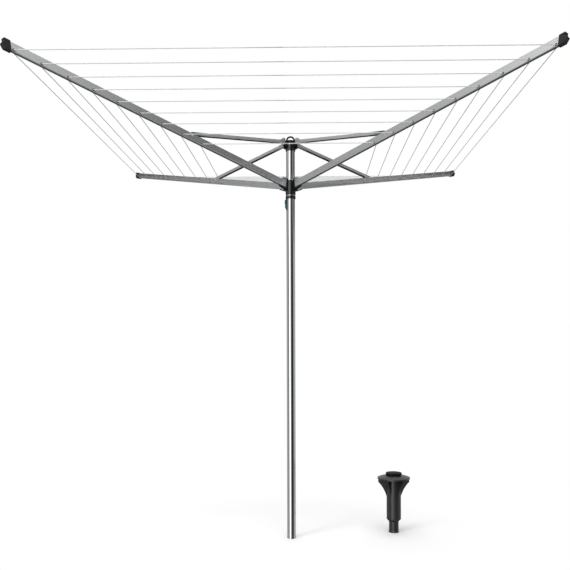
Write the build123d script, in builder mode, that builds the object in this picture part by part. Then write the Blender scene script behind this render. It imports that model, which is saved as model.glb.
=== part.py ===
"""Rotary clothesline: a round mast, a turning head with four folding arms, nine rounds of line,
and the separate ground socket that the mast stands in. Millimetres, +Z up, origin at the mast's foot."""

import math
import os

from build123d import *

os.makedirs("parts", exist_ok=True)

# Mast: one round steel tube with a moulded foot plug and a bearing plug on top
mast_diameter = 45.0
mast_wall = 1.8
foot_mark_height = 300.0
foot_mark_width = 1.5
foot_mark_depth = 0.3
foot_plug_length = 60.0
foot_plug_wall = 3.0
bearing_plug_length = 45.0
bearing_flange = 3.0
bearing_spigot_diameter = 16.0
bearing_chamfer = 1.0
end_float = 0.4
washer_thickness = 2.0
washer_diameter = 40.0
retainer_flange_diameter = 24.0
retainer_flange_thickness = 2.0
retainer_head_width = 10.0
retainer_head_height = 3.0
retainer_thread_diameter = 6.0
retainer_thread_length = 18.0

# Folding linkage: arm and brace are equal links between the runner, the rivet and the top hub
arm_count = 4
first_azimuth = 225.0
pivot_radius = 49.0
lower_pivot_height = 1844.3
link_length = 578.7
link_rest_angle = 9.96
arm_pivot_rise = 26.0
rivet_rise = 6.0
brace_pivot_rise = 14.0
brace_rivet_drop = 9.5

# Arm: an aluminium channel, open along the top so that the brace folds into it
arm_width = 18.0
arm_height = 32.0
arm_wall = 1.5
arm_corner = 2.5
arm_inner_reach = 14.0
arm_end_radius = 1462.0
root_plug_length = 36.0
root_rest_gap = 0.3
root_boss_radius = 6.0
rivet_diameter = 6.0
rivet_head_diameter = 10.0
rivet_head_height = 1.4

# Brace: a thin channel, open along the bottom
brace_width = 14.0
brace_height = 18.0
brace_wall = 1.2
brace_start = 34.0
brace_tip_reach = 6.0
brace_corner = 1.5
brace_root_length = 70.0
brace_lug_radius = 6.5
fork_overhang = 2.0
fork_lug_length = 18.0
ear_radius = 6.0
ear_length = 30.0

# Line: nine rounds threaded through the arms' side walls
line_count = 9
line_diameter = 3.2
line_outer_radius = 1446.0
line_spacing = 109.0
line_drop = 11.0
line_hole_diameter = 4.2

# Arm end cap: a moulded sleeve with a slanted edge and two lobes on its end
cap_wall = 3.2
cap_top_cover = 8.0
cap_bottom_cover = 22.0
cap_top_reach = 17.5
cap_notch_reach = 13.5
cap_notch_rise = 8.0
cap_nose_reach = 19.0
cap_nose_drop = 4.0
cap_bottom_reach = 4.0
cap_edge = 2.0
cap_recess_depth = 5.0
cap_recess_width = 9.0
cap_recess_height = 13.0

# Top hub and its hanging loop
hub_sleeve_diameter = 50.0
hub_skirt_drop = 54.5
hub_plate_rise = -23.0
hub_plate_thickness = 8.0
brace_tongue_thickness = 7.0
brace_tongue_margin = 3.2
brace_tongue_drop = 36.0
guide_reach = 46.0
guide_thickness = 3.0
guide_top_drop = 28.0
guide_tip_depth = 3.0
guide_root_depth = 16.0
brace_pin_diameter = 6.0
pin_head_margin = 2.0
pin_head_height = 1.5
clamp_plate_inset = 1.0
clamp_plate_thickness = 6.5
cap_disc_diameter = 48.0
cap_disc_height = 15.5
cap_disc_chamfer = 1.5
loop_half_width = 19.5
loop_rise = 20.7
loop_wire_diameter = 8.5
loop_leg = 0.5
cap_screw_diameter = 3.5
cap_screw_head_diameter = 6.0
cap_screw_head_height = 2.5
cap_screw_grip = 5.0
cap_screw_circle = 17.0

# Runner: the lower hub that slides on the mast
runner_diameter = 52.0
runner_top_rise = -6.0
runner_sleeve_length = 74.0
bush_height = 6.0
collar_height = 14.5
arm_tongue_thickness = 8.0
arm_tongue_margin = 3.5
arm_pin_diameter = 7.0
ledge_reach = 72.0
ledge_width = 15.0
ledge_root_depth = 11.0
ledge_tip_depth = 3.5
bush_inset = 1.5
runner_bevel = 2.0

# Release catch under the runner, on a cross pin through the mast
catch_azimuth = 205.0
catch_pin_drop = 145.8
catch_pin_diameter = 6.0
catch_width = 18.0
catch_reach = 29.3
catch_boss_radius = 7.0
catch_shoulder_reach = 11.0
catch_finger_top = 20.0
catch_finger_bottom = 6.0
catch_finger_hollow = 12.0
catch_window_room = 6.0
spring_wire_diameter = 1.6
spring_turns = 3
spring_leg_height = 28.0

# Ground socket with its hinged lid
socket_centre = (540.0, 120.0)
socket_height = 302.0
socket_disc_diameter = 172.0
socket_disc_height = 283.0
socket_rim = 7.0
socket_body_diameter = 76.0
socket_spigot_diameter = 51.0
socket_spigot_length = 58.0
socket_shoulder = 12.0
socket_lip = 1.5
socket_lip_height = 5.0
socket_floor = 6.0
socket_bore_clearance = 0.6
socket_fins = 6
socket_fin_thickness = 5.0
socket_fin_inset = 4.0
socket_fin_edge = 17.0
socket_fin_height = 93.0
lid_diameter = 84.0
lid_height = 13.0
lid_chamfer = 1.5
lid_lift = 0.3
lid_plug_length = 10.0
lid_plug_clearance = 2.0
lid_notch_radius = 14.0
lid_hinge_offset = 47.0
lid_hinge_rise = 5.0
lid_knuckle_radius = 4.5
lid_knuckle_width = 14.0
lid_pin_diameter = 4.0
lid_lug_thickness = 3.5

# Clearances
running_clearance = 0.05
sliding_clearance = 0.4
swing_clearance = 0.4
seat_clearance = 0.05

# Worked-out places
mast_radius = mast_diameter / 2
mast_bore_radius = mast_radius - mast_wall
link_rise = link_length * math.sin(math.radians(link_rest_angle))
upper_pivot_height = lower_pivot_height + 2 * link_rise
arm_angle = link_rest_angle + math.degrees(math.asin((arm_pivot_rise - rivet_rise) / link_length))
brace_angle = link_rest_angle - math.degrees(math.asin((brace_pivot_rise + brace_rivet_drop) / link_length))
plate_top = upper_pivot_height + hub_plate_rise
mast_top = plate_top - hub_plate_thickness - washer_thickness - bearing_flange
bearing_top = mast_top + bearing_flange
spigot_top = plate_top + end_float
runner_top = lower_pivot_height + runner_top_rise
runner_bottom = runner_top - runner_sleeve_length
collar_bottom = runner_bottom - bush_height - collar_height
azimuths = [first_azimuth + 360.0 / arm_count * index for index in range(arm_count)]

arm_along = Vector(math.cos(math.radians(arm_angle)), 0, math.sin(math.radians(arm_angle)))
arm_up = Vector(-arm_along.Z, 0, arm_along.X)
arm_origin = Vector(pivot_radius, 0, lower_pivot_height) - arm_up * arm_pivot_rise
arm_section = Plane(arm_origin, x_dir=(0, 1, 0), z_dir=arm_along)
arm_side = Plane(arm_origin, x_dir=arm_along, z_dir=(0, -1, 0))
arm_length = (arm_end_radius - arm_origin.X) / arm_along.X
rivet_along = math.sqrt(link_length**2 - (arm_pivot_rise - rivet_rise) ** 2)
tongue_radius = arm_pin_diameter / 2 + arm_tongue_margin
arm_swing_radius = math.hypot(arm_inner_reach, arm_pivot_rise + arm_height / 2) + swing_clearance

brace_along = Vector(math.cos(math.radians(brace_angle)), 0, -math.sin(math.radians(brace_angle)))
brace_up = Vector(-brace_along.Z, 0, brace_along.X)
brace_origin = Vector(pivot_radius, 0, upper_pivot_height) - brace_up * brace_pivot_rise
brace_section = Plane(brace_origin, x_dir=(0, 1, 0), z_dir=brace_along)
brace_side = Plane(brace_origin, x_dir=brace_along, z_dir=(0, -1, 0))
brace_rivet_along = math.sqrt(link_length**2 - (brace_pivot_rise + brace_rivet_drop) ** 2)


def save_round(part, name):
    """Writes one copy of a piece for each arm, turned about the mast and numbered from the front left."""
    for index, azimuth in enumerate(azimuths):
        piece = part.rotate(Axis.Z, azimuth)
        piece.label = f"{name}_{index + 1}"
        export_step(piece, f"parts/{piece.label}.step")


# Mast tube, with a scribed mark for its depth in the ground, the catch's window and its pin holes
catch_pin_height = lower_pivot_height - catch_pin_drop
catch_direction = Vector(1, 0, 0).rotate(Axis.Z, catch_azimuth)
catch_across = Vector(0, -1, 0).rotate(Axis.Z, catch_azimuth)
catch_side = Plane((0, 0, catch_pin_height), x_dir=catch_direction, z_dir=catch_across)
window_top = collar_bottom - catch_pin_height + catch_window_room
window_bottom = -catch_boss_radius - catch_window_room
with BuildPart() as mast_tube:
    with BuildSketch():
        Circle(mast_radius)
        Circle(mast_bore_radius, mode=Mode.SUBTRACT)
    extrude(amount=mast_top)
    with BuildSketch(Plane.XY.offset(foot_mark_height)):
        Circle(mast_radius)
        Circle(mast_radius - foot_mark_depth, mode=Mode.SUBTRACT)
    extrude(amount=foot_mark_width, mode=Mode.SUBTRACT)
    with BuildSketch(catch_side):
        with Locations((mast_radius / 2, window_bottom)):
            Rectangle(mast_radius, window_top - window_bottom, align=(Align.MIN, Align.MIN))
    extrude(amount=catch_width / 2 + swing_clearance, both=True, mode=Mode.SUBTRACT)
    with BuildSketch(catch_side):
        Circle(catch_pin_diameter / 2 + seat_clearance)
    extrude(amount=mast_diameter, both=True, mode=Mode.SUBTRACT)
mast_tube.part.label = "mast_tube"
export_step(mast_tube.part, "parts/mast_tube.step")

# Foot plug, a ribbed cup pushed into the tube until its floor is flush
with BuildPart() as foot_plug:
    with BuildSketch():
        Circle(mast_bore_radius - seat_clearance)
    extrude(amount=foot_plug_length)
    with BuildSketch(Plane.XY.offset(foot_plug_wall)):
        Circle(mast_bore_radius - foot_plug_wall)
        Rectangle(mast_diameter, foot_plug_wall, mode=Mode.SUBTRACT)
        Rectangle(foot_plug_wall, mast_diameter, mode=Mode.SUBTRACT)
    extrude(amount=foot_plug_length, mode=Mode.SUBTRACT)
foot_plug.part.label = "foot_plug"
export_step(foot_plug.part, "parts/foot_plug.step")

# Top bearing, a plug in the mast with a flange on the tube's end and a spigot for the head
with BuildPart() as top_bearing:
    with BuildSketch(Plane.XY.offset(mast_top - bearing_plug_length)):
        Circle(mast_bore_radius - seat_clearance)
    extrude(amount=bearing_plug_length)
    with BuildSketch(Plane.XY.offset(mast_top)):
        Circle(mast_radius)
    extrude(amount=bearing_flange)
    chamfer(top_bearing.edges().group_by(Axis.Z)[0], bearing_chamfer)
    with BuildSketch(Plane.XY.offset(bearing_top)):
        Circle(bearing_spigot_diameter / 2)
    extrude(amount=spigot_top - bearing_top)
    with BuildSketch(Plane.XY.offset(spigot_top)):
        Circle(retainer_thread_diameter / 2 + seat_clearance)
    extrude(amount=-retainer_thread_length - seat_clearance, mode=Mode.SUBTRACT)
top_bearing.part.label = "top_bearing"
export_step(top_bearing.part, "parts/top_bearing.step")

# Thrust washer between the bearing flange and the hub's top plate
with BuildPart() as thrust_washer:
    with BuildSketch(Plane.XY.offset(bearing_top)):
        Circle(washer_diameter / 2)
        Circle(bearing_spigot_diameter / 2 + running_clearance, mode=Mode.SUBTRACT)
    extrude(amount=washer_thickness)
thrust_washer.part.label = "thrust_washer"
export_step(thrust_washer.part, "parts/thrust_washer.step")

# Retaining screw: its flange on the spigot keeps the head from lifting off the mast
with BuildPart() as retaining_screw:
    with BuildSketch(Plane.XY.offset(spigot_top)):
        Circle(retainer_flange_diameter / 2)
    extrude(amount=retainer_flange_thickness)
    with BuildSketch(Plane.XY.offset(spigot_top + retainer_flange_thickness)):
        RegularPolygon(retainer_head_width / 2, 6, major_radius=False)
    extrude(amount=retainer_head_height)
    with BuildSketch(Plane.XY.offset(spigot_top)):
        Circle(retainer_thread_diameter / 2)
    extrude(amount=-retainer_thread_length)
retaining_screw.part.label = "retaining_screw"
export_step(retaining_screw.part, "parts/retaining_screw.step")

# Top hub: a sleeve over the mast's end, closed by a plate, with a tongue for each brace's fork
# and a pair of tapered guides that each folded brace hangs between
with BuildPart() as brace_tongue:
    with BuildSketch(Plane.XZ):
        with Locations((pivot_radius, upper_pivot_height)):
            Circle(brace_pin_diameter / 2 + brace_tongue_margin)
        with Locations((hub_sleeve_diameter / 2, plate_top)):
            Rectangle(
                clamp_plate_inset / 2,
                hub_plate_rise + brace_tongue_drop,
                align=(Align.MAX, Align.MAX),
            )
        make_hull()
    extrude(amount=brace_tongue_thickness / 2, both=True)
with BuildPart() as brace_guides:
    guide_gap = brace_width / 2 + swing_clearance
    guide_top = upper_pivot_height - guide_top_drop
    for face, outward in ((guide_gap, 1), (-guide_gap, -1)):
        with BuildSketch(Plane.XZ.offset(face)):
            with BuildLine():
                Polyline(
                    (mast_radius - guide_thickness, guide_top),
                    (guide_reach, guide_top),
                    (guide_reach, guide_top - guide_tip_depth),
                    (hub_sleeve_diameter / 2, guide_top - guide_root_depth),
                    (mast_radius - guide_thickness, guide_top - guide_root_depth),
                    close=True,
                )
            make_face()
        extrude(amount=outward * guide_thickness)
with BuildPart() as top_hub:
    hub_bottom = upper_pivot_height - hub_skirt_drop
    with BuildSketch(Plane.XY.offset(hub_bottom)):
        Circle(hub_sleeve_diameter / 2)
    extrude(amount=plate_top - hub_bottom)
    with PolarLocations(0, arm_count, start_angle=first_azimuth):
        add(brace_tongue.part)
        add(brace_guides.part)
        with Locations(Plane((pivot_radius, 0, upper_pivot_height), z_dir=(0, 1, 0))):
            Cylinder(brace_pin_diameter / 2 + seat_clearance, brace_width, mode=Mode.SUBTRACT)
    with BuildSketch(Plane.XY.offset(hub_bottom)):
        Circle(mast_radius + sliding_clearance)
    extrude(amount=plate_top - hub_plate_thickness - hub_bottom, mode=Mode.SUBTRACT)
    with BuildSketch(Plane.XY.offset(plate_top)):
        Circle(bearing_spigot_diameter / 2 + running_clearance)
    extrude(amount=-hub_plate_thickness, mode=Mode.SUBTRACT)
    with BuildSketch(Plane.XY.offset(plate_top)):
        with GridLocations(0, 2 * cap_screw_circle, 1, 2):
            Circle(cap_screw_diameter / 2 + seat_clearance)
    extrude(amount=-cap_screw_grip - seat_clearance, mode=Mode.SUBTRACT)
top_hub.part.label = "top_hub"
export_step(top_hub.part, "parts/top_hub.step")

# Clamp plate: a light alloy disc on the hub, open in the middle round the retaining screw
clamp_top = plate_top + clamp_plate_thickness
with BuildPart() as clamp_plate:
    with BuildSketch(Plane.XY.offset(plate_top)):
        Circle(hub_sleeve_diameter / 2 - clamp_plate_inset)
        Circle(retainer_flange_diameter / 2 + sliding_clearance, mode=Mode.SUBTRACT)
        with GridLocations(0, 2 * cap_screw_circle, 1, 2):
            Circle(cap_screw_diameter / 2 + seat_clearance, mode=Mode.SUBTRACT)
    extrude(amount=clamp_plate_thickness)
clamp_plate.part.label = "clamp_plate"
export_step(clamp_plate.part, "parts/clamp_plate.step")

# Screws that hold the hanging loop and the clamp plate on the hub
cap_top = clamp_top + cap_disc_height
with BuildPart() as cap_screws:
    with BuildSketch(Plane.XY.offset(cap_top)):
        with GridLocations(0, 2 * cap_screw_circle, 1, 2):
            Circle(cap_screw_head_diameter / 2)
    extrude(amount=-cap_screw_head_height)
    with BuildSketch(Plane.XY.offset(cap_top - cap_screw_head_height)):
        with GridLocations(0, 2 * cap_screw_circle, 1, 2):
            Circle(cap_screw_diameter / 2)
    extrude(amount=plate_top - cap_screw_grip - cap_top + cap_screw_head_height)
cap_screws.part.label = "cap_screws"
export_step(cap_screws.part, "parts/cap_screws.step")

# Hanging loop: a round cap with a low bow to hang the folded dryer by
with BuildPart() as hanger_cap:
    with BuildSketch(Plane.XY.offset(clamp_top)):
        Circle(cap_disc_diameter / 2)
    extrude(amount=cap_disc_height)
    chamfer(hanger_cap.edges().group_by(Axis.Z)[-1], cap_disc_chamfer)
    loop_foot_height = clamp_top + cap_disc_height / 2
    loop_centre_height = cap_top + loop_leg
    with BuildLine(Plane.XZ) as loop_path:
        Line((loop_half_width, loop_foot_height), (loop_half_width, loop_centre_height))
        EllipticalCenterArc((0, loop_centre_height), loop_half_width, loop_rise, arc_size=180)
        Line((-loop_half_width, loop_centre_height), (-loop_half_width, loop_foot_height))
    with BuildSketch(Plane((loop_half_width, 0, loop_foot_height))):
        Circle(loop_wire_diameter / 2)
    sweep(path=loop_path.line)
    with BuildSketch(Plane.XY.offset(clamp_top)):
        with GridLocations(0, 2 * cap_screw_circle, 1, 2):
            Circle(cap_screw_diameter / 2 + seat_clearance)
    extrude(amount=cap_disc_height, mode=Mode.SUBTRACT)
    with BuildSketch(Plane.XY.offset(cap_top)):
        with GridLocations(0, 2 * cap_screw_circle, 1, 2):
            Circle(cap_screw_head_diameter / 2 + seat_clearance)
    extrude(amount=-cap_screw_head_height, mode=Mode.SUBTRACT)
hanger_cap.part.label = "hanger_cap"
export_step(hanger_cap.part, "parts/hanger_cap.step")


def pivot_pins(pivot_height, fork_width, pin_diameter):
    """Four headed pins, one across each fork, as a group of separate solids."""
    half_length = fork_width / 2 + swing_clearance
    with BuildPart() as pin:
        with BuildSketch(Plane.XZ):
            with Locations((pivot_radius, pivot_height)):
                Circle(pin_diameter / 2)
        extrude(amount=half_length, both=True)
        for face, outward in ((half_length, 1), (-half_length, -1)):
            with BuildSketch(Plane.XZ.offset(face)):
                with Locations((pivot_radius, pivot_height)):
                    Circle(pin_diameter / 2 + pin_head_margin)
            extrude(amount=outward * pin_head_height)
        chamfer(pin.edges().group_by(Axis.Y)[0], pin_head_height / 2)
        chamfer(pin.edges().group_by(Axis.Y)[-1], pin_head_height / 2)
    with BuildPart() as pins:
        with PolarLocations(0, arm_count, start_angle=first_azimuth):
            add(pin.part)
    return pins.part


brace_pins = pivot_pins(upper_pivot_height, brace_width, brace_pin_diameter)
brace_pins.label = "brace_pins"
export_step(brace_pins, "parts/brace_pins.step")

# Brace: an inverted channel with a rounded tip, its side walls drawn down into ears for the rivet in the arm
with BuildPart() as brace:
    brace_end = brace_rivet_along + brace_tip_reach
    with BuildSketch(brace_section.offset(brace_start)) as channel:
        Rectangle(brace_width, brace_height)
        fillet(channel.vertices().group_by(Axis.Y)[-1], brace_corner)
        with Locations((0, -brace_wall)):
            Rectangle(brace_width - 2 * brace_wall, brace_height, mode=Mode.SUBTRACT)
    extrude(amount=brace_end - brace_start)
    with BuildSketch(brace_side) as outline:
        with Locations((brace_start, 0)):
            Rectangle(brace_end - brace_start, brace_height, align=(Align.MIN, Align.CENTER))
        fillet(outline.vertices().group_by(Axis.X)[-1], brace_height / 2 - brace_corner)
    extrude(amount=brace_width, both=True, mode=Mode.INTERSECT)
    for face, inward in ((brace_width / 2, -1), (-brace_width / 2, 1)):
        with BuildSketch(brace_side.offset(face)):
            with Locations((brace_rivet_along, -brace_rivet_drop)):
                Circle(ear_radius)
            with Locations((brace_rivet_along, brace_wall - brace_height / 2)):
                Rectangle(ear_length, brace_wall, align=(Align.MAX, Align.MAX))
            make_hull()
        extrude(amount=inward * brace_wall)
    with BuildSketch(brace_side):
        with Locations((brace_rivet_along, -brace_rivet_drop)):
            Circle(rivet_diameter / 2 + running_clearance)
    extrude(amount=brace_width, both=True, mode=Mode.SUBTRACT)
save_round(brace.part, "brace")

# Brace root: a cast fork that fills the channel's end and turns on the hub's pin
with BuildPart() as brace_root:
    fork_rise = brace_pivot_rise + brace_lug_radius
    with BuildSketch(brace_side):
        with Locations((0, brace_pivot_rise)):
            Circle(brace_lug_radius)
        with Locations((-fork_overhang, 0)):
            Rectangle(fork_lug_length, brace_height, align=(Align.MIN, Align.CENTER))
        make_hull()
        with Locations((brace_start, 0)):
            Rectangle(brace_start, brace_height, align=(Align.MAX, Align.CENTER))
    extrude(amount=brace_width / 2, both=True)
    with BuildSketch(brace_side):
        with Locations((brace_start - brace_wall, 0)):
            Rectangle(brace_root_length, 2 * fork_rise, align=(Align.MAX, Align.CENTER))
    extrude(amount=brace_tongue_thickness / 2 + swing_clearance, both=True, mode=Mode.SUBTRACT)
    with BuildSketch(brace_section.offset(brace_start)):
        with Locations((0, -brace_wall / 2)):
            Rectangle(
                brace_width - 2 * brace_wall - 2 * seat_clearance,
                brace_height - brace_wall - 2 * seat_clearance,
            )
    extrude(amount=brace_root_length - brace_start)
    with BuildSketch(brace_side):
        with Locations((0, brace_pivot_rise)):
            Circle(brace_pin_diameter / 2 + running_clearance)
    extrude(amount=brace_width, both=True, mode=Mode.SUBTRACT)
save_round(brace_root.part, "brace_root")


def line_point(index):
    """Where line number index, counted from the outside, crosses the arm's middle plane."""
    radius = line_outer_radius - index * line_spacing
    along = (radius - arm_origin.X - line_drop * arm_along.Z) / arm_along.X
    return arm_origin + arm_along * along - arm_up * line_drop


chord_angle = math.radians(90.0 + 180.0 / arm_count)
wall_slant = math.sin(chord_angle)

# Arm: a channel with a row of line holes in each side wall and the rivet's hole
with BuildPart() as arm:
    with BuildSketch(arm_section.offset(-arm_inner_reach)) as channel:
        Rectangle(arm_width, arm_height)
        fillet(channel.vertices().group_by(Axis.Y)[0], arm_corner)
        with Locations((0, arm_wall)):
            Rectangle(arm_width - 2 * arm_wall, arm_height, mode=Mode.SUBTRACT)
    extrude(amount=arm_inner_reach + arm_length)
    with BuildSketch(arm_side):
        with Locations((rivet_along, rivet_rise)):
            Circle(rivet_diameter / 2 + seat_clearance)
    extrude(amount=arm_width, both=True, mode=Mode.SUBTRACT)
    hole_start = (arm_width / 2 - 2 * arm_wall) / wall_slant
    for index in range(line_count):
        for side in (-1, 1):
            toward = Vector(math.cos(chord_angle), side * wall_slant, 0)
            with Locations(Plane(line_point(index) + toward * hole_start, z_dir=toward)):
                Cylinder(
                    line_hole_diameter / 2,
                    3 * arm_wall / wall_slant,
                    align=(Align.CENTER, Align.CENTER, Align.MIN),
                    mode=Mode.SUBTRACT,
                )
save_round(arm.part, "arm")

# Arm root: a cast plug in the channel's inner end, with a gusset on top that ends in the pivot's fork
with BuildPart() as arm_root:
    plug_width = arm_width - 2 * arm_wall - 2 * seat_clearance
    plug_floor = -arm_height / 2 + arm_wall + seat_clearance
    gusset_foot = arm_height / 2 + root_rest_gap
    with BuildSketch(arm_side):
        with Locations((-arm_inner_reach, plug_floor)):
            Rectangle(root_plug_length, gusset_foot + arm_wall - plug_floor, align=(Align.MIN, Align.MIN))
    extrude(amount=plug_width / 2, both=True)
    with BuildSketch(arm_side):
        with Locations((0, arm_pivot_rise)):
            Circle(root_boss_radius)
        with Locations((-arm_inner_reach, gusset_foot)):
            Rectangle(root_plug_length, arm_wall, align=(Align.MIN, Align.MIN))
        make_hull()
    extrude(amount=arm_width / 2, both=True)
    with BuildSketch(arm_side):
        with Locations((tongue_radius + swing_clearance, arm_pivot_rise - tongue_radius - swing_clearance)):
            Rectangle(root_plug_length, arm_height, align=(Align.MAX, Align.MIN))
    extrude(amount=arm_tongue_thickness / 2 + swing_clearance, both=True, mode=Mode.SUBTRACT)
    with BuildSketch(arm_side):
        with Locations((0, arm_pivot_rise)):
            Circle(arm_pin_diameter / 2 + running_clearance)
    extrude(amount=arm_width, both=True, mode=Mode.SUBTRACT)
save_round(arm_root.part, "arm_root")

# Rivet through both walls of the arm and of the brace inside it
with BuildPart() as rivet:
    with BuildSketch(arm_side):
        with Locations((rivet_along, rivet_rise)):
            Circle(rivet_diameter / 2)
    extrude(amount=arm_width / 2, both=True)
    for face, outward in ((arm_width / 2, 1), (-arm_width / 2, -1)):
        with BuildSketch(arm_side.offset(face)):
            with Locations((rivet_along, rivet_rise)):
                Circle(rivet_head_diameter / 2)
        extrude(amount=outward * rivet_head_height)
    chamfer(rivet.edges().group_by(Axis.Y)[0], rivet_head_height / 2)
    chamfer(rivet.edges().group_by(Axis.Y)[-1], rivet_head_height / 2)
save_round(rivet.part, "rivet")

# End cap: a sleeve over the arm's tip, slanted on the inside and nosed on the outside
with BuildPart() as end_cap:
    cap_half = arm_height / 2 + cap_wall
    with BuildSketch(arm_side):
        with BuildLine():
            Polyline(
                (arm_length - cap_top_cover, cap_half),
                (arm_length + cap_top_reach, cap_half),
                (arm_length + cap_notch_reach, cap_notch_rise),
                (arm_length + cap_nose_reach, -cap_nose_drop),
                (arm_length + cap_bottom_reach, -cap_half),
                (arm_length - cap_bottom_cover, -cap_half),
                close=True,
            )
        make_face()
    extrude(amount=arm_width / 2 + cap_wall, both=True)
    fillet(end_cap.edges().filter_by(Axis.Y).sort_by(Axis.X)[-4:], cap_edge)
    side_faces = end_cap.faces().filter_by(Axis.Y)
    chamfer(side_faces.edges(), cap_edge / 2)
    with BuildSketch(arm_section.offset(arm_length)):
        Rectangle(arm_width + 2 * seat_clearance, arm_height + 2 * seat_clearance)
    extrude(amount=-2 * cap_bottom_cover, mode=Mode.SUBTRACT)
    with BuildSketch(arm_section.offset(arm_length + cap_nose_reach)):
        SlotOverall(cap_recess_height, cap_recess_width, rotation=90)
    extrude(amount=cap_notch_reach - cap_nose_reach - cap_recess_depth, mode=Mode.SUBTRACT)
save_round(end_cap.part, "end_cap")

# Lines: the nine spans between two neighbouring arms, each ending in the arms' walls
with BuildPart() as lines:
    span_start = (arm_width / 2 - arm_wall / 2) / wall_slant
    toward = Vector(math.cos(chord_angle), wall_slant, 0)
    for index in range(line_count):
        crossing = line_point(index)
        span_length = 2 * crossing.X * math.sin(math.pi / arm_count) - 2 * span_start
        with Locations(Plane(crossing + toward * span_start, z_dir=toward)):
            Cylinder(line_diameter / 2, span_length, align=(Align.CENTER, Align.CENTER, Align.MIN))
save_round(lines.part, "lines")

# Runner: a sleeve that slides on the mast, with a tongue in each arm's fork and a ledge under its root
with BuildPart() as arm_seat:
    with BuildSketch(arm_side):
        underside = -arm_height / 2 - swing_clearance
        ledge_tip = (ledge_reach - arm_origin.X) / arm_along.X
        ledge_root = (mast_radius - arm_origin.X) / arm_along.X
        with BuildLine():
            Polyline(
                (ledge_root, underside),
                (ledge_tip, underside),
                (ledge_tip, underside - ledge_tip_depth),
                (ledge_root, underside - ledge_root_depth),
                close=True,
            )
        make_face()
        with Locations((0, arm_pivot_rise)):
            Circle(arm_swing_radius, mode=Mode.SUBTRACT)
    extrude(amount=ledge_width / 2, both=True)
with BuildPart() as arm_tongue:
    with BuildSketch(arm_side):
        with Locations((0, arm_pivot_rise)):
            Circle(tongue_radius)
        with Locations((ledge_root, arm_pivot_rise)):
            Rectangle(arm_wall, 2 * tongue_radius)
        make_hull()
    extrude(amount=arm_tongue_thickness / 2, both=True)
with BuildPart() as runner_hub:
    with BuildSketch(Plane.XY.offset(runner_bottom)):
        Circle(runner_diameter / 2)
    extrude(amount=runner_sleeve_length)
    chamfer(runner_hub.edges().group_by(Axis.Z)[0], runner_bevel)
    with PolarLocations(0, arm_count, start_angle=first_azimuth):
        add(arm_tongue.part)
        add(arm_seat.part)
        with Locations(Plane((pivot_radius, 0, lower_pivot_height), z_dir=(0, 1, 0))):
            Cylinder(arm_pin_diameter / 2 + seat_clearance, arm_width, mode=Mode.SUBTRACT)
    with BuildSketch(Plane.XY.offset(runner_bottom)):
        Circle(mast_radius + sliding_clearance)
    extrude(amount=2 * runner_sleeve_length, mode=Mode.SUBTRACT)
runner_hub.part.label = "runner_hub"
export_step(runner_hub.part, "parts/runner_hub.step")

arm_pins = pivot_pins(lower_pivot_height, arm_width, arm_pin_diameter)
arm_pins.label = "arm_pins"
export_step(arm_pins, "parts/arm_pins.step")

# Glide bush: a bright ring between the runner's sleeve and its collar
with BuildPart() as glide_bush:
    with BuildSketch(Plane.XY.offset(runner_bottom - bush_height)):
        Circle(runner_diameter / 2 - bush_inset)
        Circle(mast_radius + sliding_clearance, mode=Mode.SUBTRACT)
    extrude(amount=bush_height)
glide_bush.part.label = "glide_bush"
export_step(glide_bush.part, "parts/glide_bush.step")

# Runner collar: the ring under the bush that lands on the catch
with BuildPart() as runner_collar:
    with BuildSketch(Plane.XY.offset(collar_bottom)):
        Circle(runner_diameter / 2)
    extrude(amount=collar_height)
    chamfer(runner_collar.edges().group_by(Axis.Z)[0], runner_bevel)
    with BuildSketch(Plane.XY.offset(collar_bottom)):
        Circle(mast_radius + sliding_clearance)
    extrude(amount=collar_height, mode=Mode.SUBTRACT)
runner_collar.part.label = "runner_collar"
export_step(runner_collar.part, "parts/runner_collar.step")

# Release catch: a lever on the cross pin whose nose stands out of the window under the collar,
# its top an arc about the pin so that it can swing in
nose_inner = math.sqrt((mast_radius + sliding_clearance) ** 2 - (catch_width / 2) ** 2)
nose_height = collar_bottom - catch_pin_height - swing_clearance
nose_radius = math.hypot(nose_inner, nose_height)
nose_outer_height = math.sqrt(nose_radius**2 - catch_reach**2)
with BuildPart() as release_catch:
    with BuildSketch(catch_side):
        with BuildLine():
            RadiusArc((nose_inner, nose_height), (catch_reach, nose_outer_height), nose_radius)
            Line((catch_reach, nose_outer_height), (catch_reach, catch_finger_top))
            RadiusArc(
                (catch_reach, catch_finger_top),
                (catch_reach, catch_finger_bottom),
                -catch_finger_hollow,
            )
            Polyline(
                (catch_reach, catch_finger_bottom),
                (mast_radius, -catch_boss_radius),
                (0, -catch_boss_radius),
            )
            RadiusArc((0, -catch_boss_radius), (-catch_boss_radius, 0), catch_boss_radius)
            Polyline(
                (-catch_boss_radius, 0),
                (catch_shoulder_reach, nose_height),
                (nose_inner, nose_height),
            )
        make_face()
        Circle(catch_pin_diameter / 2 + running_clearance, mode=Mode.SUBTRACT)
    extrude(amount=catch_width / 2, both=True)
release_catch.part.label = "release_catch"
export_step(release_catch.part, "parts/release_catch.step")

# Cross pin through the mast, flush with the tube's outside
with BuildPart() as catch_pin:
    with BuildSketch(catch_side):
        Circle(catch_pin_diameter / 2)
    extrude(amount=mast_radius, both=True)
catch_pin.part.label = "catch_pin"
export_step(catch_pin.part, "parts/catch_pin.step")

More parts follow.
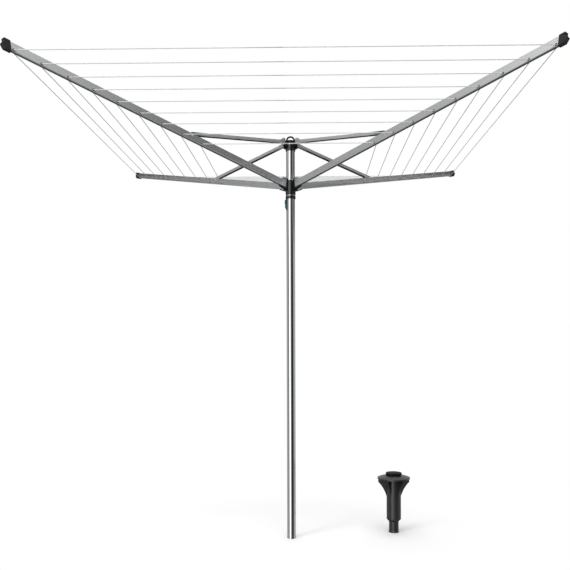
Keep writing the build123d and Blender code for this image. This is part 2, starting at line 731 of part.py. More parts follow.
# Torsion spring beside the catch: a coil on the pin, a leg on the far wall and a leg behind the catch
with BuildPart() as catch_spring:
    coil_width = spring_turns * spring_wire_diameter
    coil_start = catch_width / 2 + swing_clearance
    leg_offset = coil_start + coil_width / 2
    with BuildSketch(catch_side.offset(coil_start)):
        Circle(catch_pin_diameter / 2 + seat_clearance + spring_wire_diameter)
        Circle(catch_pin_diameter / 2 + seat_clearance, mode=Mode.SUBTRACT)
    extrude(amount=coil_width)
    coil_radius = (catch_pin_diameter + spring_wire_diameter) / 2
    leg_plane = catch_side.offset(leg_offset)
    wall_reach = math.sqrt((mast_bore_radius - spring_wire_diameter) ** 2 - leg_offset**2)
    for start, end in (
        ((-coil_radius, 0), (-wall_reach, spring_leg_height)),
        ((coil_radius, 0), (catch_shoulder_reach, spring_leg_height)),
    ):
        base = leg_plane.from_local_coords((*start, 0))
        tip = leg_plane.from_local_coords((*end, 0))
        with Locations(Plane(base, z_dir=tip - base)):
            Cylinder(
                spring_wire_diameter / 2,
                (tip - base).length,
                align=(Align.CENTER, Align.CENTER, Align.MIN),
            )
catch_spring.part.label = "catch_spring"
export_step(catch_spring.part, "parts/catch_spring.step")

# Ground socket: a stepped tube with a domed disc, six fins, and lugs for the lid's hinge
socket_x, socket_y = socket_centre
socket_section = Plane((socket_x, socket_y, 0), x_dir=(1, 0, 0), z_dir=(0, -1, 0))
socket_base = Plane((socket_x, socket_y, 0))
hinge_height = socket_height + lid_hinge_rise
hinge_line = Plane((socket_x, socket_y + lid_hinge_offset, hinge_height), x_dir=(0, 1, 0), z_dir=(1, 0, 0))
body_radius = socket_body_diameter / 2
spigot_radius = socket_spigot_diameter / 2
disc_radius = socket_disc_diameter / 2
with BuildPart() as socket_fin:
    with BuildSketch(Plane.XZ):
        with BuildLine():
            fin_corner = (disc_radius - socket_fin_inset, socket_disc_height - socket_fin_edge)
            fin_foot = (body_radius, socket_disc_height - socket_fin_height)
            Polyline(
                fin_foot,
                (body_radius - socket_fin_inset, socket_disc_height - socket_fin_height),
                (body_radius - socket_fin_inset, socket_disc_height),
                (disc_radius - socket_fin_inset, socket_disc_height),
                fin_corner,
            )
            RadiusArc(fin_corner, fin_foot, -2 * socket_fin_height)
        make_face()
    extrude(amount=socket_fin_thickness / 2, both=True)
with BuildPart() as ground_socket:
    with BuildSketch(socket_section):
        with BuildLine():
            dome_edge = (disc_radius, socket_disc_height + socket_rim)
            dome_top = (lid_diameter / 2, socket_height)
            Polyline(
                dome_top,
                (0, socket_height),
                (0, 0),
                (spigot_radius + socket_lip, 0),
                (spigot_radius + socket_lip, socket_lip_height),
                (spigot_radius, socket_lip_height + socket_lip),
                (spigot_radius, socket_spigot_length),
                (body_radius, socket_spigot_length + socket_shoulder),
                (body_radius, socket_disc_height),
                (disc_radius, socket_disc_height),
                dome_edge,
            )
            RadiusArc(dome_edge, dome_top, -2 * disc_radius)
        make_face()
    revolve(axis=Axis((socket_x, socket_y, 0), (0, 0, 1)))
    with Locations((socket_x, socket_y)):
        with PolarLocations(0, socket_fins):
            add(socket_fin.part)
    with BuildSketch(socket_base.offset(socket_floor)):
        Circle(mast_radius + socket_bore_clearance)
    extrude(amount=socket_height, mode=Mode.SUBTRACT)
    lug_gap = lid_knuckle_width / 2 + swing_clearance
    for face, outward in ((lug_gap, 1), (-lug_gap, -1)):
        with BuildSketch(hinge_line.offset(face)):
            Circle(lid_knuckle_radius)
            Rectangle(
                2 * lid_knuckle_radius,
                lid_hinge_rise + socket_rim,
                align=(Align.CENTER, Align.MAX),
            )
        extrude(amount=outward * lid_lug_thickness)
    with BuildSketch(hinge_line):
        Circle(lid_pin_diameter / 2 + seat_clearance)
    extrude(amount=lid_knuckle_width + lid_lug_thickness, both=True, mode=Mode.SUBTRACT)
ground_socket.part.label = "ground_socket"
export_step(ground_socket.part, "parts/ground_socket.step")

# Hinge pin of the lid
with BuildPart() as lid_pin:
    with BuildSketch(hinge_line):
        Circle(lid_pin_diameter / 2)
    extrude(amount=lid_knuckle_width / 2 + swing_clearance + lid_lug_thickness, both=True)
lid_pin.part.label = "lid_pin"
export_step(lid_pin.part, "parts/lid_pin.step")

# Socket lid: a cap with a short plug in the bore, a thumb notch in front and a knuckle behind
with BuildPart() as socket_lid:
    lid_bottom = socket_height + lid_lift
    with BuildSketch(socket_base.offset(lid_bottom)):
        Circle(lid_diameter / 2)
    extrude(amount=lid_height)
    chamfer(socket_lid.edges().group_by(Axis.Z)[-1], lid_chamfer)
    with BuildSketch(socket_base.offset(lid_bottom)):
        Circle(mast_radius + socket_bore_clearance - lid_plug_clearance)
    extrude(amount=-lid_plug_length)
    lid_front = (socket_x, socket_y - lid_diameter / 2, lid_bottom + lid_height)
    with BuildSketch(Plane(lid_front, z_dir=(0, -1, 0))):
        SlotOverall(3 * lid_notch_radius, lid_notch_radius)
    extrude(amount=lid_notch_radius / 2, both=True, mode=Mode.SUBTRACT)
    with BuildSketch(hinge_line):
        Circle(lid_knuckle_radius)
        Rectangle(lid_hinge_offset - lid_diameter / 4, lid_knuckle_radius, align=(Align.MAX, Align.CENTER))
    extrude(amount=lid_knuckle_width / 2, both=True)
    with BuildSketch(hinge_line):
        Circle(lid_pin_diameter / 2 + running_clearance)
    extrude(amount=lid_knuckle_width, both=True, mode=Mode.SUBTRACT)
socket_lid.part.label = "socket_lid"
export_step(socket_lid.part, "parts/socket_lid.step")
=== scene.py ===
import math

import bpy
import numpy as np
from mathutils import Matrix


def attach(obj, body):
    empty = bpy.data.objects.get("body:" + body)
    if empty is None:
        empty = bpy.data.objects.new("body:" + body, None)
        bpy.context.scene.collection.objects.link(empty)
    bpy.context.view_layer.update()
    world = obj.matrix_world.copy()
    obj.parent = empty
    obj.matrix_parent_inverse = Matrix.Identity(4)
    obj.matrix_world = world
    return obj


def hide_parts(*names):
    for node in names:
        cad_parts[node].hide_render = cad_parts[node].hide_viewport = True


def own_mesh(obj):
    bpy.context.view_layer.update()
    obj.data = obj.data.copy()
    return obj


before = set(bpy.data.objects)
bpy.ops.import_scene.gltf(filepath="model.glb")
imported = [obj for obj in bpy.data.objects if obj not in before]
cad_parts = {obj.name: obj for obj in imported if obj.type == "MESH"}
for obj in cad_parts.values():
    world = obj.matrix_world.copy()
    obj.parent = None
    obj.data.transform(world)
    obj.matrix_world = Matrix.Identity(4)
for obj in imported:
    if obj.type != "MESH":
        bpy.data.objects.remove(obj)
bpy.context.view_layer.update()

# Viewpoint: a level camera at waist height in front of the dryer, turned towards the mast,
# with the picture slid so that the head and its lines fill the upper third.
IMAGE_WIDTH = 570
FOCAL_PIXELS = 715.0
CENTRE_COLUMN = 297.55
HORIZON_ROW = 344.84
SENSOR_WIDTH = 36.0
view_place = (0.0967, -3.6825, 0.994)
view_turn = math.radians(0.98)
view_roll = math.radians(0.155)
camera_data = bpy.data.cameras.new("studio_camera")
camera_data.sensor_width = SENSOR_WIDTH
camera_data.lens = SENSOR_WIDTH * FOCAL_PIXELS / IMAGE_WIDTH
camera_data.shift_x = (IMAGE_WIDTH / 2 - CENTRE_COLUMN) / IMAGE_WIDTH
camera_data.shift_y = (HORIZON_ROW - IMAGE_WIDTH / 2) / IMAGE_WIDTH
camera = bpy.data.objects.new("studio_camera", camera_data)
camera.location = view_place
camera.rotation_euler = (math.pi / 2, view_roll, view_turn)
bpy.context.scene.collection.objects.link(camera)
bpy.context.scene.camera = camera
bpy.context.scene.view_settings.view_transform = "Standard"


# Studio: a pale paper sweep underfoot that fades into a white backdrop, a broad lamp overhead and one on
# the viewer's left. Metal mirrors a ring of light and dark panels round the room, and the brightest panel,
# in front on the left, draws the bright line down the mast.
class Signal:
    """One output socket of a shader tree. Arithmetic on it adds Math nodes to that tree."""

    def __init__(self, tree, socket):
        self.tree = tree
        self.socket = socket

    def combine(self, operation, first, second):
        """The result of one Math node on two signals or numbers."""
        node = self.tree.nodes.new("ShaderNodeMath")
        node.operation = operation
        for place, value in enumerate((first, second)):
            feed(self.tree, node.inputs[place], value)
        return Signal(self.tree, node.outputs[0])

    def __add__(self, other):
        return self.combine("ADD", self, other)

    def __radd__(self, other):
        return self.combine("ADD", other, self)

    def __sub__(self, other):
        return self.combine("SUBTRACT", self, other)

    def __rsub__(self, other):
        return self.combine("SUBTRACT", other, self)

    def __mul__(self, other):
        return self.combine("MULTIPLY", self, other)

    def __rmul__(self, other):
        return self.combine("MULTIPLY", other, self)


def feed(tree, socket, value):
    """Links a signal to a socket, or sets the socket to a plain value."""
    if isinstance(value, Signal):
        tree.links.new(value.socket, socket)
    else:
        socket.default_value = value


class Shader:
    """A node tree with one method that adds any node, and a few that add often used ones."""

    def __init__(self, tree):
        self.tree = tree
        tree.nodes.clear()

    def add(self, kind, settings=None, output=0, **sockets):
        """Adds a node: its settings first, a ramp's stops as (position, grey) pairs, then its sockets,
        each under its own name with underscores for spaces, or under i and its index."""
        node = self.tree.nodes.new("ShaderNode" + kind)
        for name, value in (settings or {}).items():
            if name == "stops":
                stops = node.color_ramp.elements
                while len(stops) < len(value):
                    stops.new(1.0)
                for stop, (position, grey) in zip(stops, value):
                    stop.position = position
                    stop.color = (grey, grey, grey, 1.0)
            else:
                setattr(node, name, value)
        for name, value in sockets.items():
            place = int(name[1:]) if name[1:].isdigit() else name.replace("_", " ")
            feed(self.tree, node.inputs[place], value)
        return Signal(self.tree, node.outputs[output]) if node.outputs else node

    def split(self, vector):
        """The three components of a vector."""
        parts = self.add("SeparateXYZ", Vector=vector).socket.node.outputs
        return [Signal(self.tree, part) for part in parts]

    def ramp(self, signal, low, high, start=0.0, end=1.0):
        """A smooth step from start to end while the signal goes from low to high."""
        settings = {"interpolation_type": "SMOOTHSTEP"}
        return self.add("MapRange", settings, i0=signal, i1=low, i2=high, i3=start, i4=end)

    def blend_colours(self, factor, first, second):
        """The colour first where factor is 0 and second where it is 1."""
        settings = {"data_type": "RGBA"}
        return self.add("Mix", settings, output=2, i0=factor, i6=first, i7=second)


world = bpy.data.worlds.new("studio")
world.use_nodes = True
bpy.context.scene.world = world
sky = Shader(world.node_tree)
pure_white = (1.0, 1.0, 1.0, 1.0)
rightward, backward, upward = sky.split(sky.add("TexCoord", output="Generated"))
downward = -1 * upward

# Once round the room: 0.5 is towards the viewer, and it grows to the viewer's right
bearing = sky.add("Math", {"operation": "ARCTAN2"}, i0=rightward, i1=-1 * backward) * (0.5 / math.pi) + 0.5
brightest_panel = 2.2


def panel_ring(panels):
    """The panels round the room at one level, as pairs of a bearing in degrees, 0 towards the viewer
    and positive to the right, and a brightness. The brightness goes evenly from each pair to the next."""
    stops = [((angle + 180) / 360, grey / brightest_panel) for angle, grey in panels]
    return sky.add("ValToRGB", {"stops": stops}, Fac=bearing)


low_ring = panel_ring([
    (-180, 0.55), (-121, 0.6), (-104, 0.5), (-72, 0.45), (-60, 0.22), (-47, 0.2), (-42, 2.2), (-20, 2.2),
    (-11, 1.1), (1, 0.55), (7, 0.2), (11, 0.05), (40, 0.03), (62, 0.02), (70, 0.4), (85, 0.6), (116, 0.55),
    (180, 0.6),
])
high_ring = panel_ring([
    (-180, 0.7), (-150, 0.65), (-134, 0.5), (-124, 0.04), (-102, 0.0), (-98, 0.26), (-94, 0.5), (-85, 0.48),
    (-78, 0.46), (-74, 0.75), (-70, 1.15), (-62, 0.85), (-54, 0.35), (-46, 0.3), (-41, 2.2), (-19, 2.2),
    (-9, 0.9), (5, 0.3), (12, 0.05), (52, 0.04), (60, 0.45), (68, 0.9), (72, 0.52), (76, 0.16), (85, 0.12),
    (96, 0.18), (99, 0.08), (102, 0.0), (122, 0.04), (134, 0.5), (150, 0.6), (180, 0.7),
])

# The high ring takes over a little above the horizon. Well below it the low ring fades to a grey floor,
# which is nearly black at the back, where the undersides of arms and braces look.
floor_grey = 0.13
floor_share = 0.22
back_shade = 0.92
raised = sky.ramp(upward, 0.13, 0.18)
sunk = sky.ramp(downward, 0.26, 0.32)
walls = low_ring * (1 - raised) + high_ring * raised
around = walls * (1 - sunk) + (floor_grey + floor_share * low_ring) * sunk
shade = 1 - back_shade * sky.ramp(downward, 0.27, 0.42) * sky.ramp(backward, 0.3, 0.6)
mirror_room = sky.add("Background", Color=pure_white, Strength=brightest_panel * around * shade)

# Dull surfaces are lit from the front and the back of the room, and hardly from its sides
least_fill = 0.1
fill_gain = 1.8
fill_light = sky.add("Background", Color=pure_white, Strength=least_fill + fill_gain * backward * backward)
backdrop = sky.add("Background", Color=pure_white, Strength=1.0)
seen = sky.add("LightPath", output="Is Camera Ray")
mirrored = sky.add("LightPath", output="Is Glossy Ray")
through = sky.add("LightPath", output="Is Transmission Ray")
looked_at = sky.add("MixShader", i0=mirrored, i1=backdrop, i2=mirror_room)
room = sky.add("MixShader", i0=seen + mirrored + through, i1=fill_light, i2=looked_at)
sky.add("OutputWorld", Surface=room)


def softbox(name, place, target, width, height, power):
    """A rectangular lamp of that size at place, turned to face target. Seen from target, it leans from
    straight overhead by the arctangent of its flat distance over its height, towards its own bearing."""
    data = bpy.data.lights.new(name, "AREA")
    data.shape = "RECTANGLE"
    data.size = width
    data.size_y = height
    data.energy = power
    lamp = bpy.data.objects.new(name, data)
    away = np.array(place) - np.array(target)
    flat = math.hypot(away[0], away[1])
    lamp.rotation_euler = (math.atan2(flat, away[2]), 0.0, math.atan2(away[0], -away[1]))
    lamp.location = place
    bpy.context.scene.collection.objects.link(lamp)
    return lamp


softbox("overhead", place=(0.0, -0.6, 4.6), target=(0.0, 0.0, 1.0), width=4.0, height=4.0, power=130.0)
side_lamp = softbox(
    "left_front", place=(-3.2, -3.4, 2.6), target=(0.0, 0.0, 1.3), width=1.6, height=2.2, power=70.0
)
side_lamp.visible_glossy = False

floor_half = 9.0
shadow_reach = 0.55
white_reach = 1.1
floor_corners = floor_half * np.array([(-1, -1, 0), (1, -1, 0), (1, 1, 0), (-1, 1, 0)])
floor_mesh = bpy.data.meshes.new("floor")
floor_mesh.from_pydata(floor_corners.tolist(), [], [(0, 1, 2, 3)])
floor = bpy.data.objects.new("floor", floor_mesh)
bpy.context.scene.collection.objects.link(floor)
paper = bpy.data.materials.new("paper_sweep")
paper.use_nodes = True
sweep = Shader(paper.node_tree)
floor_spot = sweep.add("TexCoord", output="Object")
reach = sweep.add("VectorMath", {"operation": "LENGTH"}, output="Value", i0=floor_spot)
fade = sweep.ramp(reach, shadow_reach, white_reach) * sweep.add("LightPath", output="Is Camera Ray")
paper_face = sweep.add("BsdfDiffuse", Color=(0.93, 0.93, 0.93, 1.0))
paper_glow = sweep.add("Emission", Color=pure_white, Strength=1.0)
sweep.add("OutputMaterial", Surface=sweep.add("MixShader", i0=fade, i1=paper_face, i2=paper_glow))
floor_mesh.materials.append(paper)
floor.visible_glossy = False
floor.visible_diffuse = False


# Mast: one long drawn steel tube with a bright finish. The draw marks run up and down it
# and show only as slightly softer and sharper bands in what it mirrors.
class Finish(Shader):
    """A new material with its plain values. What varies over the surface is linked afterwards."""

    def __init__(self, name, colour, roughness, metallic=0.0, gloss=0.5):
        self.material = bpy.data.materials.new(name)
        self.material.use_nodes = True
        super().__init__(self.material.node_tree)
        plain = {"Base_Color": (*colour, 1.0), "Roughness": roughness}
        surface = self.add("BsdfPrincipled", Metallic=metallic, Specular_IOR_Level=gloss, **plain)
        self.inputs = surface.socket.node.inputs
        self.add("OutputMaterial", Surface=surface)
        self.spot = self.add("TexCoord", output="Object")

    def vary(self, **signals):
        """Links signals to the main shader's sockets, named with underscores for spaces."""
        for name, signal in signals.items():
            feed(self.tree, self.inputs[name.replace("_", " ")], signal)

    def noise(self, scale, detail, where=None):
        """Smooth noise from 0 to 1 with about scale features to the metre, or to the unit of where."""
        place = self.spot if where is None else where
        return self.add("TexNoise", Vector=place, Scale=scale, Detail=detail)

    def tint(self, factor, dark, light):
        """A base colour that goes from dark to light with the factor."""
        self.vary(Base_Color=self.blend_colours(factor, (*dark, 1.0), (*light, 1.0)))

    def bump(self, height, strength, depth):
        """A relief that rises by depth, in metres, while height goes from 0 to 1, at that strength."""
        self.vary(Normal=self.add("Bump", Strength=strength, Distance=depth, Height=height))


def dress(finish, *names):
    """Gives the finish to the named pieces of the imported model."""
    for name in names:
        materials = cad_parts[name].data.materials
        materials.clear()
        materials.append(finish.material)


steel = Finish("drawn_steel", (0.62, 0.63, 0.645), 0.16, metallic=1.0)
drawn_out = steel.add("Mapping", Vector=steel.spot, Scale=(160.0, 160.0, 1.2))
draw_marks = steel.noise(scale=1.0, detail=3.0, where=drawn_out)
steel.vary(Roughness=0.1 + draw_marks * 0.04)
steel.bump(draw_marks, strength=0.008, depth=0.0004)
dress(steel, "mast_tube")

# Mast fittings: a ribbed black plug closes the tube's foot, and a pale acetal plug with a spigot
# closes its top, where the head turns on a washer and is kept down by one plated screw.
black = Finish("black_moulding", (0.004, 0.004, 0.0045), 0.18, gloss=0.75)
cloud = black.noise(scale=28.0, detail=3.0)
black.vary(Roughness=0.14 + cloud * 0.08)
black.tint(cloud, dark=(0.0025, 0.0025, 0.003), light=(0.005, 0.005, 0.0055))
black.bump(black.noise(scale=1900.0, detail=2.0), strength=0.03, depth=0.0003)
acetal = Finish("bearing_acetal", (0.72, 0.71, 0.67), 0.4)
acetal.tint(acetal.noise(scale=60.0, detail=2.0), dark=(0.66, 0.65, 0.61), light=(0.76, 0.75, 0.71))
plated = Finish("zinc_plate", (0.56, 0.57, 0.59), 0.3, metallic=1.0)
bloom = plated.noise(scale=420.0, detail=3.0)
plated.vary(Roughness=0.2 + bloom * 0.25)
plated.tint(bloom, dark=(0.5, 0.51, 0.52), light=(0.62, 0.63, 0.64))
dress(black, "foot_plug")
dress(acetal, "top_bearing", "thrust_washer")
dress(plated, "retaining_screw")

# Head: a black moulding over the mast's top, a light cast disc on it, and a black cap with a bow
# to hang the folded dryer by. Two plated screws hold the cap and the disc, and plated pins the braces.
casting = Finish("cast_alloy", (0.55, 0.56, 0.57), 0.42, metallic=1.0)
skin = casting.noise(scale=900.0, detail=3.0)
casting.vary(Roughness=0.34 + skin * 0.2)
casting.tint(skin, dark=(0.5, 0.51, 0.52), light=(0.63, 0.64, 0.65))
casting.bump(skin, strength=0.15, depth=0.0003)
matt = Finish("matt_black", (0.004, 0.004, 0.0045), 0.6, gloss=0.12)
grain = matt.noise(scale=1500.0, detail=2.0)
matt.vary(Roughness=0.5 + grain * 0.2)
matt.bump(grain, strength=0.1, depth=0.0003)
dress(black, "top_hub")
dress(matt, "hanger_cap")
dress(casting, "clamp_plate")
dress(plated, "cap_screws", "brace_pins")

# Arms and braces: extruded aluminium channels, satin anodised, with fine die lines along their length and, in
# the arms, a row of holes for the line, each with a disc of painted shade round it. Shade is also painted
# inside the channels and along the braces' lower edges. A cast fork fills each inner end, a plated rivet
# joins brace to arm, and a black cap closes the tip.
arm_azimuths = np.radians([225.0, 315.0, 45.0, 135.0])
link = 0.5787
rest_angle = math.radians(9.96)
pivot_radius = 0.049
pivot_height = 1.8443
arm_pivot_rise = 0.026
rivet_rise = 0.006
brace_pivot_rise = 0.014
brace_rivet_drop = 0.0095
arm_slope = rest_angle + math.asin((arm_pivot_rise - rivet_rise) / link)
brace_slope = rest_angle - math.asin((brace_pivot_rise + brace_rivet_drop) / link)
arm_axis_radius = pivot_radius + arm_pivot_rise * math.sin(arm_slope)
arm_axis_height = pivot_height - arm_pivot_rise * math.cos(arm_slope)
brace_axis_radius = pivot_radius - brace_pivot_rise * math.sin(brace_slope)
brace_pivot_height = pivot_height + 2 * link * math.sin(rest_angle)
brace_axis_height = brace_pivot_height - brace_pivot_rise * math.cos(brace_slope)
ring_count = 9
outer_ring = 1.446
ring_spacing = 0.109
line_drop = 0.011
wall_middle = 0.00825
hole_pitch = ring_spacing / math.cos(arm_slope)
outer_crossing = (outer_ring - arm_axis_radius - line_drop * math.sin(arm_slope)) / math.cos(arm_slope)
outer_hole = outer_crossing - wall_middle * math.cos(arm_slope)
inner_hole = outer_hole - (ring_count - 1) * hole_pitch
hole_drop = line_drop - wall_middle * math.sin(arm_slope)
# The size and grey of the painted shade round each line hole
hole_shade_radius = 0.0046
hole_shade_colour = (0.02, 0.02, 0.021, 1.0)
die_line_length = 0.9
die_line_width = 0.0022
shadow_length = 0.08
shadow_depth = 0.75
dull_roughness = 0.3


def extruded(
    name, azimuth, foot, slope, inner_half, inner_back, open_side, satin, pale, dark,
    lip=None, shaded_from=None, shaded_holes=False,
):
    """Aluminium for a channel that starts at foot, (radius, height), on that azimuth and rises by slope.
    Its die lines run lengthwise. Shade is painted inside it, within inner_half of its middle plane and on the
    open side (1 above, -1 below) of its back wall at inner_back, where it is also rougher and less metallic.
    Shade is painted on its walls too beyond lip on the open side and, lengthwise, beyond shaded_from. The
    painted shade has the grey dark and more roughness, the rest the grey pale with the roughness satin. With
    eyelets, shade is painted as a dark disc round each of its line holes."""
    metal = Finish(name, (0.7, 0.71, 0.72), 0.34, metallic=1.0)
    start = (foot[0] * math.cos(azimuth), foot[0] * math.sin(azimuth), foot[1])
    turned = (0.0, -slope, float(azimuth))
    die_line = (die_line_length, die_line_width, die_line_width)
    inverse = {"vector_type": "TEXTURE"}
    lengthwise = metal.add("Mapping", inverse, Vector=metal.spot, Rotation=turned, Scale=die_line)
    die_lines = metal.noise(scale=1.0, detail=2.0, where=lengthwise)
    haze = metal.noise(scale=9.0, detail=3.0)
    local = metal.add("Mapping", inverse, Vector=metal.spot, Location=start, Rotation=turned)
    along, sideways, above = metal.split(local)
    spread = metal.add("Math", {"operation": "ABSOLUTE"}, i0=sideways)
    between_walls = metal.ramp(spread, inner_half, inner_half + 0.0003, 1.0, 0.0)
    off_back = metal.ramp(-open_side * above, inner_back + 0.0002, inner_back + 0.0006, 1.0, 0.0)
    inside = between_walls * off_back
    # Painted shade: the channel's inside, then its lower edge and its shadowed outer end
    painted_shade = inside
    larger = {"operation": "MAXIMUM"}
    # Painted shade along the walls' edge on the open side
    if lip is not None:
        edge = metal.ramp(open_side * above, lip, lip + 0.0015)
        painted_shade = metal.add("Math", larger, i0=painted_shade, i1=edge)
    # Painted shadow of the arm over the brace's outer end
    if shaded_from is not None:
        shaded = metal.ramp(along, shaded_from, shaded_from + shadow_length) * shadow_depth
        painted_shade = metal.add("Math", larger, i0=painted_shade, i1=shaded)
    light, deep, shade_colour = ((0.985 * grey, grey, 1.015 * grey, 1.0) for grey in (pale, pale - 0.1, dark))
    anodised = metal.blend_colours(die_lines * 0.6 + haze * 0.4, deep, light)
    # The painted shade darkens the anodised colour to the grey dark
    colour = metal.blend_colours(painted_shade, anodised, shade_colour)
    # Painted shade: a dark disc round each line hole
    if shaded_holes:
        half_pitch = hole_pitch / 2
        aside = metal.add("Math", {"operation": "WRAP"}, i0=along - outer_hole, i1=half_pitch, i2=-half_pitch)
        lower = above + hole_drop
        apart = metal.add("Math", {"operation": "SQRT"}, i0=aside * aside + lower * lower)
        hole_shade = metal.ramp(apart, hole_shade_radius, hole_shade_radius + 0.0006, 1.0, 0.0)
        drilled = metal.ramp(along, inner_hole - 0.02, inner_hole - 0.01)
        colour = metal.blend_colours(hole_shade * drilled, colour, hole_shade_colour)
    roughness = satin + die_lines * 0.04 + haze * 0.03 + painted_shade * dull_roughness
    metal.vary(Base_Color=colour, Roughness=roughness, Metallic=1 - 0.8 * inside)
    metal.bump(die_lines, strength=0.012, depth=0.0003)
    return metal


tip = Finish("tip_moulding", (0.024, 0.024, 0.025), 0.5, gloss=0.3)
grain = tip.noise(scale=1900.0, detail=2.0)
tip.tint(grain, dark=(0.006, 0.006, 0.0065), light=(0.014, 0.014, 0.015))
tip.bump(grain, strength=0.12, depth=0.0003)
arm_section = {"inner_half": 0.0075, "inner_back": 0.0145, "open_side": 1}
arm_look = {"satin": 0.21, "pale": 0.76, "dark": 0.4, "shaded_holes": True}
brace_section = {"inner_half": 0.0058, "inner_back": 0.0078, "open_side": -1}
brace_look = {"satin": 0.48, "pale": 0.66, "dark": 0.02, "lip": 0.0058}
near_brace_shadow = 0.48
arm_foot = (arm_axis_radius, arm_axis_height)
brace_foot = (brace_axis_radius, brace_axis_height)
for arm, azimuth in enumerate(arm_azimuths, 1):
    # The outer ends of the two braces nearer the viewer get the shadow of their arms painted on
    shadow = near_brace_shadow if math.sin(azimuth) < 0 else None
    arm_metal = extruded(f"arm_aluminium_{arm}", azimuth, arm_foot, arm_slope, **arm_section, **arm_look)
    brace_metal = extruded(
        f"brace_aluminium_{arm}", azimuth, brace_foot, -brace_slope,
        shaded_from=shadow, **brace_section, **brace_look,
    )
    dress(arm_metal, f"arm_{arm}")
    dress(brace_metal, f"brace_{arm}")
    dress(casting, f"arm_root_{arm}", f"brace_root_{arm}")
    dress(plated, f"rivet_{arm}")
    dress(tip, f"end_cap_{arm}")

# Lines: a plastic-sheathed cord threaded nine times round the arms. Each span is made as two halves that
# start inside their arms and meet at mid span, and each half is attached to its arm.
line_radius = 0.0017
line_sides = 10
bend_points = 7
span_points = 7
sheath = Finish("line_sheath", (0.6, 0.6, 0.61), 0.42)
sheath.tint(sheath.noise(scale=700.0, detail=1.0), dark=(0.4, 0.405, 0.41), light=(0.54, 0.545, 0.55))


def tube_mesh(name, path, radius, sides):
    """A closed tube of that radius along a path of points, with one face on each end:
    rings of unit circles in the plane across the path's direction, scaled and moved to each point."""
    along = np.gradient(path, axis=0)
    along /= np.linalg.norm(along, axis=1, keepdims=True)
    side = np.cross(along, (0.0, 0.0, 1.0))
    side /= np.linalg.norm(side, axis=1, keepdims=True)
    above = np.cross(side, along)
    turn = np.linspace(0.0, 2 * math.pi, sides, endpoint=False)
    ring = side[:, None] * np.cos(turn)[None, :, None] + above[:, None] * np.sin(turn)[None, :, None]
    points = path[:, None] + radius * ring
    first = np.arange(len(path) - 1)[:, None] * sides
    here = first + np.arange(sides)[None]
    after = first + (np.arange(sides)[None] + 1) % sides
    quads = np.stack([here, after, after + sides, here + sides], -1).reshape(-1, 4)
    last = (len(path) - 1) * sides
    faces = quads.tolist() + [list(range(sides))[::-1], list(range(last, last + sides))]
    mesh = bpy.data.meshes.new(name)
    mesh.from_pydata(points.reshape(-1, 3).tolist(), [], faces)
    mesh.polygons.foreach_set("use_smooth", [True] * len(quads) + [False, False])
    mesh.update()
    return mesh
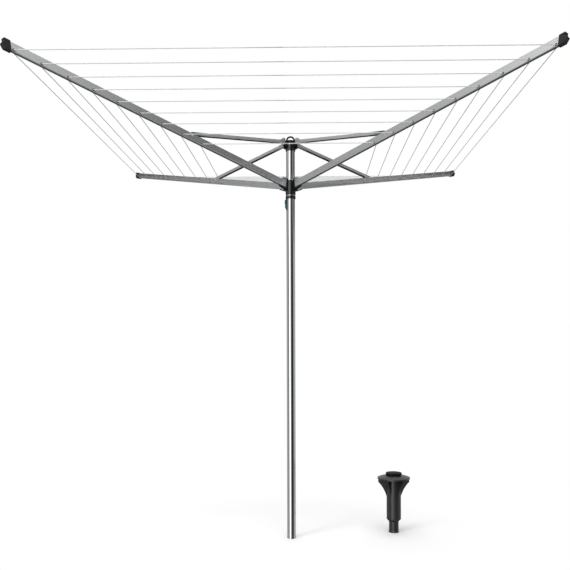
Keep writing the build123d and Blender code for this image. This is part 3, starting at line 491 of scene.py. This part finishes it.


# Folded, the rivet stands close to the mast and the arm nearly upright. How much of a half span would
# still fit then, stopping just short of mid span, is worked out below as keep, but nothing uses it.
fold_angle = math.radians(76.0)
short_of_middle = 0.97
folded_slope = arm_slope + fold_angle
folded_rivet_radius = pivot_radius + link * math.cos(rest_angle + fold_angle)
rivet_along = math.sqrt(link**2 - (arm_pivot_rise - rivet_rise) ** 2)
hung = (line_drop + rivet_rise) * math.sin(folded_slope)
level_slant = math.cos(arm_slope) * math.cos(folded_slope)
upright_slant = math.sin(arm_slope) * math.sin(folded_slope)
upright = np.array([0.0, 0.0, 1.0])
for arm, azimuth in enumerate(arm_azimuths):
    outward = np.array([math.cos(azimuth), math.sin(azimuth), 0.0])
    across = np.array([-math.sin(azimuth), math.cos(azimuth), 0.0])
    for ring_number in range(ring_count):
        ring_radius = outer_ring - ring_number * ring_spacing
        hole_along = (ring_radius - arm_axis_radius - line_drop * math.sin(arm_slope)) / math.cos(arm_slope)
        hole_height = arm_axis_height + hole_along * math.sin(arm_slope) - line_drop * math.cos(arm_slope)
        crossing = outward * ring_radius + upright * hole_height
        folded_radius = folded_rivet_radius + (hole_along - rivet_along) * math.cos(folded_slope) + hung
        wall_radius = folded_radius - wall_middle * (level_slant + upright_slant)
        free_half = ring_radius / 2 - wall_middle
        folded_half = (wall_radius - wall_middle - free_half * level_slant) / (1 + upright_slant)
        keep = folded_half / free_half * short_of_middle
        for side, turn in (("left", 1.0), ("right", -1.0)):
            toward = turn * across - outward
            wall = crossing + wall_middle * toward
            middle = crossing + ring_radius / 2 * toward
            other_wall = crossing - wall_middle * (turn * across + outward)
            # The cord bends inside the arm on a quadratic curve from wall to wall, of which this is one half
            bend = np.linspace(0.5, 1.0, bend_points)[:, None]
            curve = (1 - bend) ** 2 * other_wall + 2 * bend * (1 - bend) * crossing + bend**2 * wall
            straight = wall + np.linspace(0.0, 1.0, span_points)[1:, None] * (middle - wall)
            path = np.vstack([curve, straight])
            name = f"line_{ring_number + 1}_arm_{arm + 1}_{side}"
            half = bpy.data.objects.new(name, tube_mesh(name, path, line_radius, line_sides))
            bpy.context.scene.collection.objects.link(half)
            half.data.materials.append(sheath.material)
            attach(half, f"arm_{arm + 1}")
            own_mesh(half)
            span = arm if turn > 0 else (arm - 1) % 4
            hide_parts(f"lines_{span + 1}")

# Runner: the black lower hub that slides on the mast, a burnished steel bush under it, the collar that rests
# on the catch, and four plated pins that the arms' forks turn on.
burnished = Finish("burnished_steel", (0.42, 0.42, 0.43), 0.3, metallic=1.0)
round_about = burnished.add("Mapping", Vector=burnished.spot, Scale=(40.0, 40.0, 2500.0))
burnished.vary(Roughness=0.22 + burnished.noise(scale=1.0, detail=2.0, where=round_about) * 0.14)
dress(black, "runner_hub", "runner_collar")
dress(burnished, "glide_bush")
dress(plated, "arm_pins")

# Catch: a blue-green plastic lever that stands out of the mast's window and holds the runner up.
# It turns on a plated cross pin, and a wire spring on that pin presses it out.
teal = Finish("teal_moulding", (0.012, 0.06, 0.08), 0.35)
cloud = teal.noise(scale=60.0, detail=2.0)
teal.vary(Roughness=0.28 + cloud * 0.16)
teal.tint(cloud, dark=(0.006, 0.036, 0.055), light=(0.009, 0.05, 0.07))
wire = Finish("spring_wire", (0.45, 0.45, 0.46), 0.3, metallic=1.0)
wire.vary(Roughness=0.2 + wire.noise(scale=1200.0, detail=2.0) * 0.2)
dress(teal, "release_catch")
dress(plated, "catch_pin")
dress(wire, "catch_spring")

# Ground socket: a dark plastic tube with fins that grips the soil, a wide disc that lies on the lawn,
# and a hinged lid on a plated pin that keeps dirt out while the mast is away.
dark_plastic = Finish("socket_moulding", (0.016, 0.0165, 0.018), 0.32, gloss=0.65)
cloud = dark_plastic.noise(scale=14.0, detail=3.0)
dark_plastic.vary(Roughness=0.26 + cloud * 0.14)
dark_plastic.tint(cloud, dark=(0.011, 0.0115, 0.013), light=(0.02, 0.0205, 0.022))
dark_plastic.bump(dark_plastic.noise(scale=1400.0, detail=2.0), strength=0.1, depth=0.0003)
dress(dark_plastic, "ground_socket")
dress(matt, "socket_lid")
dress(plated, "lid_pin")
